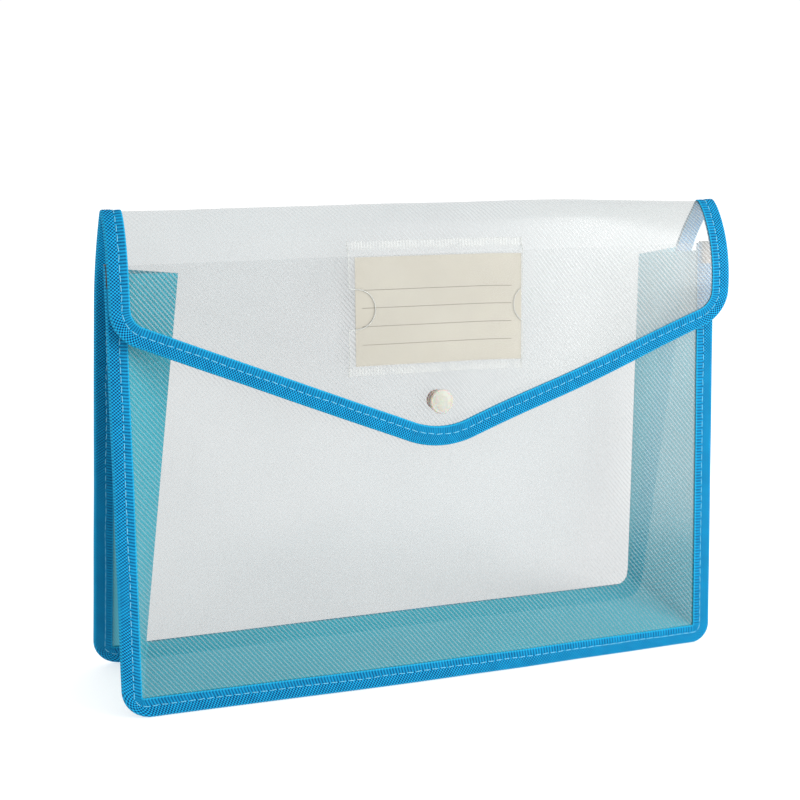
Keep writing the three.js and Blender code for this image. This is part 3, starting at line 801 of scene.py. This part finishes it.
def stitches(name, sheet, outline, material):
    """Short thread runs along both faces of a tape, sunk at their ends."""
    path = trace(outline, STITCH_INSET, edge_counts(outline, 0.0004))
    inward = inward_rows(path, outline.closed)
    if outline.closed:
        path = np.vstack([path, path[:1]])
        inward = np.vstack([inward, inward[:1]])
    along = lengths(path)
    count = int((along[-1] - 0.004) / STITCH_PITCH)
    pitch = along[-1] / count if outline.closed else STITCH_PITCH
    share = np.linspace(-1, 1, 9)
    wander = wobble(count, 3, STITCH_WANDER)
    aside = 0.001
    parts = []
    for k in range(count):
        run = (k + 0.5) * pitch + share * STITCH_LENGTH / 2
        lean = wander[k] + share * rng.uniform(-STITCH_LEAN, STITCH_LEAN)
        x, s, nx, ns = [np.interp(run, along, values) for values in (*path.T, *inward.T)]
        x, s = x + nx * lean, s + ns * lean
        sink = np.abs(share) ** 4
        radii = THREAD_RADIUS * (1 - 0.45 * sink)
        for face in (1, -1):
            depth = face * (STITCH_DEPTH - STITCH_SINK * sink)
            centres = place(sheet, x, s, depth)
            outside = place(sheet, x, s, depth + face * aside)
            beside = place(sheet, x + nx * aside, s + ns * aside, depth)
            upward = units(outside - centres)
            parts.append(tube(centres, units(beside - centres), upward, radii))
    points, faces, uv = joined(parts)
    return make_piece(name, points, faces, material, uv, closed=True)


# Gusset. Its film runs from the front's tape inward to a crease, and back out to the rear's tape.

FLANGE_INSETS = [0.0028, 0.005, 0.0075, 0.0098]
FLANGE_END_DEPTH = -0.0006
GUSSET_STEP = 0.003
GUSSET_BULGE, BULGE_WOBBLE = 0.0016, 0.0009
GUSSET_RIPPLE = 0.0005


def gusset_middle(height):
    """Y of the plane midway between the front and the back at a height."""
    lean = (FRONT_TOP[0] - FRONT_FOOT[0]) / FRONT_TOP[1] + (BACK_BEND[0] - BACK_FOOT[0]) / BACK_BEND[1]
    return lean * height / 2


def gusset_paths():
    """The outlines of the front and the back, their step counts, and the crease as (x, -height)."""
    front_top = (FRONT_TOP[1] - GUSSET_TOP) / FRONT_TOP[1] * front_profile.length
    back_top = rear_profile.distance_at(GUSSET_TOP, climbing=True)
    front = u_outline(front_top, front_profile.length)
    back = u_outline(back_top, 0)
    crease_radii = [None, corner_radius(RIGHT_CREASE_RADIUS), corner_radius(LEFT_CREASE_RADIUS), None]
    crease_corners = [
        (HALF_WIDTH - CREASE_TOP[0], -CREASE_TOP[1]),
        (HALF_WIDTH - RIGHT_CREASE_FOOT[0], -RIGHT_CREASE_FOOT[1]),
        (LEFT_CREASE_FOOT[0] - HALF_WIDTH, -LEFT_CREASE_FOOT[1]),
        (CREASE_TOP[0] - HALF_WIDTH, -CREASE_TOP[1]),
    ]
    crease = Outline(np.array(crease_corners), crease_radii, False)
    counts = edge_counts(front, GUSSET_STEP)
    return front, back, counts, trace(crease, 0, counts)


def gusset(name, material):
    front, back, counts, line = gusset_paths()
    rows = len(line)
    crease = np.stack([line[:, 0], gusset_middle(-line[:, 1]), -line[:, 1]], 1)

    def edge(panel, outline, inset, depth):
        """Points along a panel's edge, from its right top down, across and up to its left top."""
        path = trace(outline, inset, counts)
        if outline is back:
            path = path[::-1]
        return place(panel, path[:, 0], path[:, 1], depth)

    near = edge(FRONT, front, GUSSET_EDGE, FLANGE_END_DEPTH)
    far = edge(REAR, back, GUSSET_EDGE, FLANGE_END_DEPTH)
    bulge = GUSSET_BULGE + wobble(rows, 14, BULGE_WOBBLE)
    ripples = wobble(rows, 9, GUSSET_RIPPLE)
    shares = (1 - np.cos(np.pi * np.linspace(0, 1, 17))) / 2

    def half(start):
        """Columns from a flange's end to the crease, closest together at both ends."""
        outward = units((start - crease) * (1, 0, 1))
        lifts = [np.sin(np.pi * u) * bulge + np.sin(2 * np.pi * u) * ripples for u in shares]
        return [start + u * (crease - start) + outward * lift[:, None] for u, lift in zip(shares, lifts)]

    front_half, back_half = half(near), half(far)
    rounded = (front_half[-2] + 6 * crease + back_half[-2]) / 8
    columns = [edge(FRONT, front, inset, FLANGE_OFFSET) for inset in FLANGE_INSETS]
    columns += front_half[:-1] + [rounded] + back_half[-2::-1]
    columns += [edge(REAR, back, inset, FLANGE_OFFSET) for inset in reversed(FLANGE_INSETS)]
    points = np.stack(columns, 1)
    across = lengths(points[rows // 2])
    uv = np.stack(np.broadcast_arrays(lengths(crease)[:, None], across[None]), -1)
    return make_piece(name, points, grid_faces(rows, points.shape[1]), material, uv)


# Label pocket. Its card's middle is the origin of x and v, with v up the flap.

card_low, card_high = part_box("label_card")
LABEL_S = rear_profile.distance_at((card_low.z + card_high.z) / 2, climbing=False)
CARD_HALF_WIDTH = (card_high.x - card_low.x) / 2
CARD_HALF_HEIGHT = 0.027
CARD_SHEET = 0.0003
CARD_DEPTH = 0.00158
LABEL_X = FITTINGS_X - 0.0006
WINDOW_LEFT, WINDOW_RIGHT = -0.0484, 0.0456
WINDOW_HALF_HEIGHT = 0.0335
WINDOW_RISE = 0.0014
WINDOW_FILM = 0.00025
WELD_DEPTH = 0.00075
WINDOW_LIFT = 0.0014
WELD_RELIEF = 0.00012
LIP_RADIUS = 0.00026
LIP_MARK = 0.001
WELD = 0.0043
WELD_PITCH = 0.0016
NOTCH_RADIUS = 0.01
NOTCH_MIDDLES = (-0.0446, 0.0506)
RULE_SHARES = (0.30, 0.465, 0.635, 0.805)
RULE_HALF_THICKNESS = 0.0002
RULE_REACH = 0.9
RULE_MIDDLE = -0.001


def place_label(x, v, depth):
    """Points on the flap, for places on the slightly tilted label."""
    across = LABEL_X + x * math.cos(LABEL_TILT) - v * math.sin(LABEL_TILT)
    up = x * math.sin(LABEL_TILT) + v * math.cos(LABEL_TILT)
    return place(REAR, across, LABEL_S - up, depth)


def label_card(name, material):
    across = np.linspace(-CARD_HALF_WIDTH, CARD_HALF_WIDTH, 31)
    up = np.linspace(-CARD_HALF_HEIGHT, CARD_HALF_HEIGHT, 19)
    x, v = np.meshgrid(across, up)
    points, faces, uv = slab(place_label(x, v, CARD_DEPTH), CARD_SHEET, np.stack([x, v], -1))
    return make_piece(name, points, faces, material, uv, closed=True, crisp=True)


def label_window(name, material):
    """A film welded along its top and bottom, with a thumb notch in each open end."""
    top, loose = WINDOW_HALF_HEIGHT, WINDOW_HALF_HEIGHT - WELD - 0.002
    up = stops_along(-top, (-loose, 0.0005), (loose, 0.0008), (top, 0.0005))
    bite = np.sqrt(np.maximum(NOTCH_RADIUS ** 2 - up ** 2, 0))
    notched = np.abs(up) < NOTCH_RADIUS
    left = np.where(notched, np.maximum(NOTCH_MIDDLES[0] + bite, WINDOW_LEFT), WINDOW_LEFT)[:, None]
    right = np.where(notched, np.minimum(NOTCH_MIDDLES[1] - bite, WINDOW_RIGHT), WINDOW_RIGHT)[:, None]
    x = left + (right - left) * np.linspace(0, 1, 181)[None]
    v = np.broadcast_to(up[:, None], x.shape)
    raised = smoothstep((top - np.abs(v) - WELD + 0.001) / 0.003)
    ribs = WELD_RELIEF * np.sin(2 * np.pi * x / WELD_PITCH) * (1 - raised)
    middle = place_label(x, v + WINDOW_RISE, WELD_DEPTH + WINDOW_LIFT * raised + ribs)
    film = slab(middle, WINDOW_FILM, np.stack([x, v], -1))
    points, faces, uv = joined([film, window_lip(middle[:, 0]), window_lip(middle[:, -1])])
    return make_piece(name, points, faces, material, uv, closed=True)


def window_lip(centres):
    """The thickened cut edge of the window. Its uv lies past the film's, which marks it as a lip."""
    along = units(np.gradient(centres, axis=0))
    beside = units(np.cross(along, (0, -1.0, 0.06)))
    outward = units(np.cross(beside, along))
    points, faces, uv = tube(centres, beside, outward, np.full(len(centres), LIP_RADIUS), sides=6)
    return points, faces, np.full_like(uv, WINDOW_HALF_HEIGHT + LIP_MARK)


# Snap fastener. Depths run inward from the middle of the flap along the snap's axis.

FLAP_LEAN = (FLAP_BEND[0] - FLAP_END[0]) / (FLAP_BEND[1] - FLAP_END[1])
SNAP_AXIS = Vector((0, 1, -FLAP_LEAN)).normalized()
SNAP_HEIGHT = 0.1478
SNAP_Y = FLAP_BEND[0] - FLAP_LEAN * (FLAP_BEND[1] - SNAP_HEIGHT)
SNAP_PLACE = Vector((FITTINGS_X, SNAP_Y, SNAP_HEIGHT))


def rounded_profile(points, radius, steps=5):
    """A profile with each inner corner replaced by a small arc-like curve."""
    points = np.array(points)
    result = [points[0]]
    for before, corner, after in zip(points, points[1:], points[2:]):
        reach = min(radius, np.linalg.norm(before - corner) / 2.2, np.linalg.norm(after - corner) / 2.2)
        start = corner + units(before - corner) * reach
        end = corner + units(after - corner) * reach
        result += list(bezier(start, corner, end, steps))
    return np.array(result + [points[-1]])


def turned(name, profile, material, radius=0.0003, sides=72):
    """A solid turned about the snap's axis from (radius, depth) points that start and end on it."""
    profile = rounded_profile(profile, radius)
    angle = np.linspace(0, 2 * np.pi, sides, endpoint=False)
    axis = np.array(SNAP_AXIS)
    right = np.array([1.0, 0, 0])
    ring = np.cos(angle)[:, None] * right + np.sin(angle)[:, None] * np.cross(axis, right)
    radii, depths = profile[1:-1, :, None, None].transpose(1, 0, 2, 3)
    points = (radii * ring + depths * axis).reshape(-1, 3)
    rows = len(profile) - 2
    tips = profile[[0, -1], 1][:, None] * axis
    faces = grid_faces(rows, sides, wrap_columns=True)
    for i in range(sides):
        j = (i + 1) % sides
        faces.append([j, i, rows * sides])
        faces.append([(rows - 1) * sides + i, (rows - 1) * sides + j, rows * sides + 1])
    points = np.concatenate([points, tips]) + np.array(SNAP_PLACE)
    return make_piece(name, points, faces, material, closed=True, crisp=True)


def snap_pieces(material):
    cap = turned("snap_cap_face", [
        (0, -0.0006), (0.0035, -0.0006), (0.0062, -0.00062), (0.0063, -0.00125), (0.006, -0.0018),
        (0.0054, -0.00205), (0.0051, -0.00198), (0.0032, -0.00232), (0.0012, -0.0024), (0, -0.00242),
    ], material)
    socket = turned("snap_socket_ring", [
        (0, 0.0011), (0.002, 0.0011), (0.0022, 0.0024), (0.0027, 0.003), (0.0038, 0.003),
        (0.0043, 0.0026), (0.0051, 0.0017), (0.0052, 0.00025), (0.003, 0.0002), (0, 0.0002),
    ], material)
    stud = turned("snap_stud_disc", [
        (0, 0.0056), (0.0035, 0.0056), (0.005, 0.0052), (0.005, 0.0044), (0.004, 0.00415),
        (0.0019, 0.00405), (0.00175, 0.0028), (0.0021, 0.0021), (0.0018, 0.00155), (0, 0.0015),
    ], material)
    post = turned("snap_post_disc", [
        (0, 0.00628), (0.0035, 0.00628), (0.0052, 0.0063), (0.0052, 0.0068), (0.0044, 0.00738),
        (0.003, 0.00742), (0.0026, 0.00715), (0, 0.0071),
    ], material)
    return cap, socket, stud, post


# Metal clips over the two upper ends of the front tape.

CLIP_SHEET = 0.0004
CLIP_LEG = 0.011
CLIP_REACH = 0.0004
CLIP_HALF_GAP = 0.0019
CLIP_BEND = 0.0012
CLIP_CORNER = 0.0015
CRIMP_AT, CRIMP_REACH, CRIMP_DEPTH = 0.0065, 0.0016, 0.00045


def clip(name, node, material):
    """A strip bent over the tape's end, with a crimp pressed into each leg and rounded corners."""
    low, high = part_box(node)
    outward = 1 if low.x > 0 else -1
    half = (high.x - low.x + CLIP_REACH) / 2
    leg = stops_along(0, (CLIP_LEG, 0.0007))
    turn = np.linspace(0, np.pi / 2, 7)[1:]
    half_depth = np.concatenate([
        np.full_like(leg, CLIP_HALF_GAP),
        CLIP_HALF_GAP - CLIP_BEND * (1 - np.cos(turn)),
    ])
    half_s = np.concatenate([leg[::-1], -0.55 * CLIP_BEND * np.sin(turn)])
    depth = np.concatenate([half_depth, -half_depth[::-1]])[:, None]
    s = np.concatenate([half_s, half_s[::-1]])[:, None]
    across = np.linspace(-1, 1, 15)[None]
    corner = 1 - 0.25 * share_between(s, CLIP_LEG - CLIP_CORNER, CLIP_LEG) ** 2
    x = (low.x + high.x + outward * CLIP_REACH) / 2 + half * across * corner
    dent = np.exp(-(((s - CRIMP_AT) / CRIMP_REACH) ** 2)) * np.cos(across * np.pi / 2) ** 2
    depth = depth - np.sign(depth) * CRIMP_DEPTH * dent
    middle = place(Sheet(front_profile, no_swell), x, s, depth)
    points, faces, uv = slab(middle, CLIP_SHEET, np.stack([x, depth], -1))
    return make_piece(name, points, faces, material, uv, closed=True, crisp=True)


# Assembly.

def finish_piece(piece, slot, *nodes):
    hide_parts(*nodes)


def build_rear(film, weave, thread):
    """Back and flap are one sheet and one loop of tape, which bend at the crease."""
    tip = TIP_S - FILM_INSET * 1.1
    stops = stops_along(
        FILM_INSET,
        (FILM_INSET + 0.016, 0.001),
        (CREASE_S - 0.012, 0.004),
        (CREASE_S + 0.012, 0.0006),
        (tip - 0.03, 0.003),
        (tip - 0.0035, 0.001),
    )
    sheet = film_sheet("rear_film", REAR, REAR_OUTLINE, stops, film, FITTINGS_X)
    binding = tape("rear_tape", REAR, REAR_OUTLINE, weave)
    seam = stitches("rear_stitches", REAR, REAR_OUTLINE, thread)
    finish_piece(sheet, "clear_film", "back_panel", "flap_panel")
    finish_piece(binding, "binding_tape", "back_binding", "flap_binding")
    for piece in (sheet, binding, seam):
        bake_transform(piece)


def build_front(film, weave, thread):
    foot = front_profile.length - FILM_INSET
    stops = stops_along(0, (0.016, 0.001), (foot - 0.016, 0.004), (foot, 0.001))
    sheet = film_sheet("front_film", FRONT, FRONT_OUTLINE, stops, film)
    binding = tape("front_tape", FRONT, FRONT_OUTLINE, weave)
    seam = stitches("front_stitches", FRONT, FRONT_OUTLINE, thread)
    finish_piece(sheet, "clear_film", "front_panel")
    finish_piece(binding, "binding_tape", "front_binding")
    for piece in (sheet, binding, seam):
        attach(piece, "front")


def build_gusset(film):
    piece = gusset("gusset_film", film)
    edges = ("left", "bottom", "right")
    nodes = [f"gusset_{edge}_{side}" for edge in edges for side in ("front", "back")]
    finish_piece(piece, "gusset_film", *nodes)
    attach(piece, "back")
    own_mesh(piece)


def build_label(film, paper):
    window = label_window("pocket_window", film)
    finish_piece(window, "pocket_film", "label_window")
    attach(window, "flap")
    card = label_card("ruled_label_card", paper)
    finish_piece(card, "label_card", "label_card")
    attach(card, "card")


def build_snap(plastic):
    cap, socket, stud, post = snap_pieces(plastic)
    for piece, node, body in ((cap, "snap_cap", "flap"), (socket, "snap_socket", "flap"),
                              (stud, "snap_stud", "front"), (post, "snap_post", "front")):
        finish_piece(piece, "snap_plastic", node)
        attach(piece, body)


def build_clips(metal):
    for side in ("left", "right"):
        node = f"{side}_end_clip"
        piece = clip(f"{side}_metal_clip", node, metal)
        finish_piece(piece, "clip_metal", node)
        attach(piece, "front")


# Stage.

def camera():
    data = bpy.data.cameras.new("camera")
    data.lens = CAMERA_LENS
    data.sensor_width = SENSOR_WIDTH
    data.clip_start, data.clip_end = 0.01, 100
    cos_pitch, sin_pitch = math.cos(CAMERA_PITCH), math.sin(CAMERA_PITCH)
    ahead = Vector((math.sin(CAMERA_YAW) * cos_pitch, math.cos(CAMERA_YAW) * cos_pitch, -sin_pitch))
    level = Vector((math.cos(CAMERA_YAW), -math.sin(CAMERA_YAW), 0))
    up = level.cross(ahead)
    cos_roll, sin_roll = math.cos(CAMERA_ROLL), math.sin(CAMERA_ROLL)
    right = cos_roll * level + sin_roll * up
    above = cos_roll * up - sin_roll * level
    turn = Matrix((right, above, -ahead)).transposed().to_4x4()
    item = bpy.data.objects.new("camera", data)
    item.matrix_world = Matrix.Translation(CAMERA_PLACE) @ turn
    bpy.context.scene.collection.objects.link(item)
    bpy.context.scene.camera = item


def key_light():
    data = bpy.data.lights.new("key_light", "AREA")
    data.shape = "RECTANGLE"
    data.size, data.size_y = KEY_SIZE
    data.energy = KEY_WATTS
    lamp = bpy.data.objects.new("key_light", data)
    lamp.location = KEY_PLACE
    lamp.rotation_euler = (KEY_TARGET - KEY_PLACE).to_track_quat("-Z", "Y").to_euler()
    bpy.context.scene.collection.objects.link(lamp)


def studio():
    """An even white surround and a white floor."""
    world = bpy.data.worlds.new("studio")
    world.use_nodes = True
    background = world.node_tree.nodes["Background"].inputs
    background["Color"].default_value = (1, 1, 1, 1)
    background["Strength"].default_value = WORLD_STRENGTH
    bpy.context.scene.world = world
    bpy.context.scene.view_settings.view_transform = "Standard"
    corners = FLOOR_HALF * np.array([(-1, -1, 0), (1, -1, 0), (1, 1, 0), (-1, 1, 0)])
    floor = make_piece("floor", corners, [[0, 1, 2, 3]], studio_floor("studio_floor"))
    floor.location.z = -FLOOR_GAP


def main():
    camera()
    studio()
    key_light()
    flap_look = FilmLook(linear(70, 76, 78), linear(170, 177, 179), 0.03, 0.34)
    front_look = FilmLook(linear(70, 76, 78), linear(160, 167, 169), 0.08, 0.35)
    # Painted shade: the back part of the rear sheet is tinted darker than its flap, standing in for the
    # shade seen through the case.
    painted_shade_back_look = FilmLook(linear(46, 84, 88), linear(60, 94, 98), 0.39, 0.415)
    blue = FilmLook(linear(52, 150, 166), linear(72, 163, 178), 0.92, 0.97)
    # Painted highlights: pale areas over the right of the flap and the upper right of the front, where
    # the key light's reflection falls.
    flap_painted_highlight = PaintedHighlight(linear(170, 174, 173), 0.46, (0.0, 0.12), (CREASE_S - 0.008, CREASE_S + 0.010))
    front_painted_highlight = PaintedHighlight(linear(176, 180, 180), 0.22, (0.08, 0.15), (0.185, 0.12))
    rear_clear = embossed_film("rear_clear_film", painted_shade_back_look, flap_look, flap_painted_highlight)
    front_clear = embossed_film("front_clear_film", front_look, painted_highlight=front_painted_highlight)
    blue_film = embossed_film("blue_gusset_film", blue, gloss=0.04, dullness=0.4)
    weave = woven_tape("woven_blue_tape")
    thread = sewing_thread("light_blue_thread")
    build_rear(rear_clear, weave, thread)
    build_front(front_clear, weave, thread)
    build_gusset(blue_film)
    build_label(pocket_film("clear_pocket_film"), ruled_card("ruled_cream_card"))
    build_snap(ivory_plastic("ivory_plastic"))
    build_clips(nickel_plate("nickel_plate"))


main()
